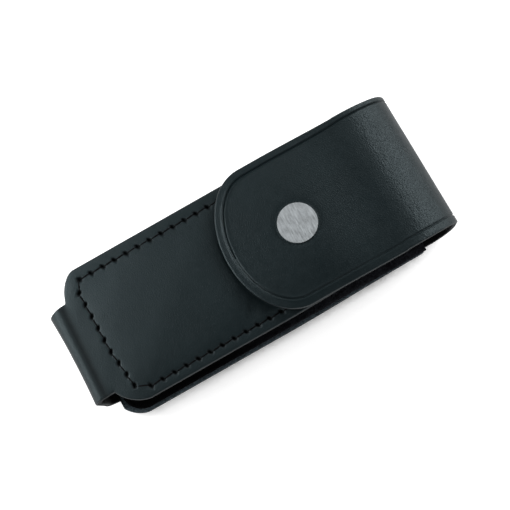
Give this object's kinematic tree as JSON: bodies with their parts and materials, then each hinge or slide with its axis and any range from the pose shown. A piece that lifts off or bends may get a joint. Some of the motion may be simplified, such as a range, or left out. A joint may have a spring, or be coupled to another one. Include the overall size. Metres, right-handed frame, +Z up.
{
  "type": "belt pouch",
  "caption": "Black leather belt pouch for a folding tool, with folded side gussets, a wrap-over flap held by a press stud, and a belt loop on the back.",
  "frame": {"origin": "middle of the pouch's length and width, at the face of the belt loop that it rests on", "axes": "+X from the bottom end to the flap's fold at the mouth, +Y to the wearer's view of the pouch's left side, +Z up through the front panel"},
  "size_m": [0.1222, 0.0466, 0.0375],
  "materials": {
    "black_leather": "smooth black, semi-matt, burnished edges",
    "gusset_leather": "thin black split leather, flesh side fuzzy",
    "black_thread": "waxed black thread",
    "aged_silver": "antique silver plating",
    "spring_steel": "bright wire"
  },
  "bodies": {
    "pouch": {"front_panel": "black_leather", "back_panel": "black_leather", "bottom_strap": "black_leather", "left_gusset": "gusset_leather", "right_gusset": "gusset_leather", "bottom_gusset": "gusset_leather", "belt_loop": "black_leather", "snap_stud": "aged_silver", "stud_eyelet": "aged_silver", "left_front_stitches": "black_thread", "right_front_stitches": "black_thread", "bottom_front_stitches": "black_thread", "left_back_stitches": "black_thread", "right_back_stitches": "black_thread", "bottom_back_stitches": "black_thread", "mouth_tab_stitches": "black_thread", "bottom_tab_stitches": "black_thread"},
    "flap_fold": {"flap_arch": "black_leather"},
    "flap_end": {"flap_tongue": "black_leather", "snap_cap": "aged_silver", "snap_socket": "aged_silver", "snap_spring": "spring_steel"}
  },
  "joints": [
    {"name": "flap_back_fold", "type": "hinge", "parent": "pouch", "child": "flap_fold", "pos_m": [0.0517, 0, 0.0083], "axis": [0, 1, 0], "range_deg": [0, 75], "deforming": ["snap_spring"]},
    {"name": "flap_front_fold", "type": "hinge", "parent": "flap_fold", "child": "flap_end", "pos_m": [0.0461, 0, 0.0337], "axis": [0, 1, 0], "range_deg": [0, 90]}
  ],
  "couplings": [
    {"joint": "flap_front_fold", "follows": "flap_back_fold", "ratio": 1.2}
  ]
}
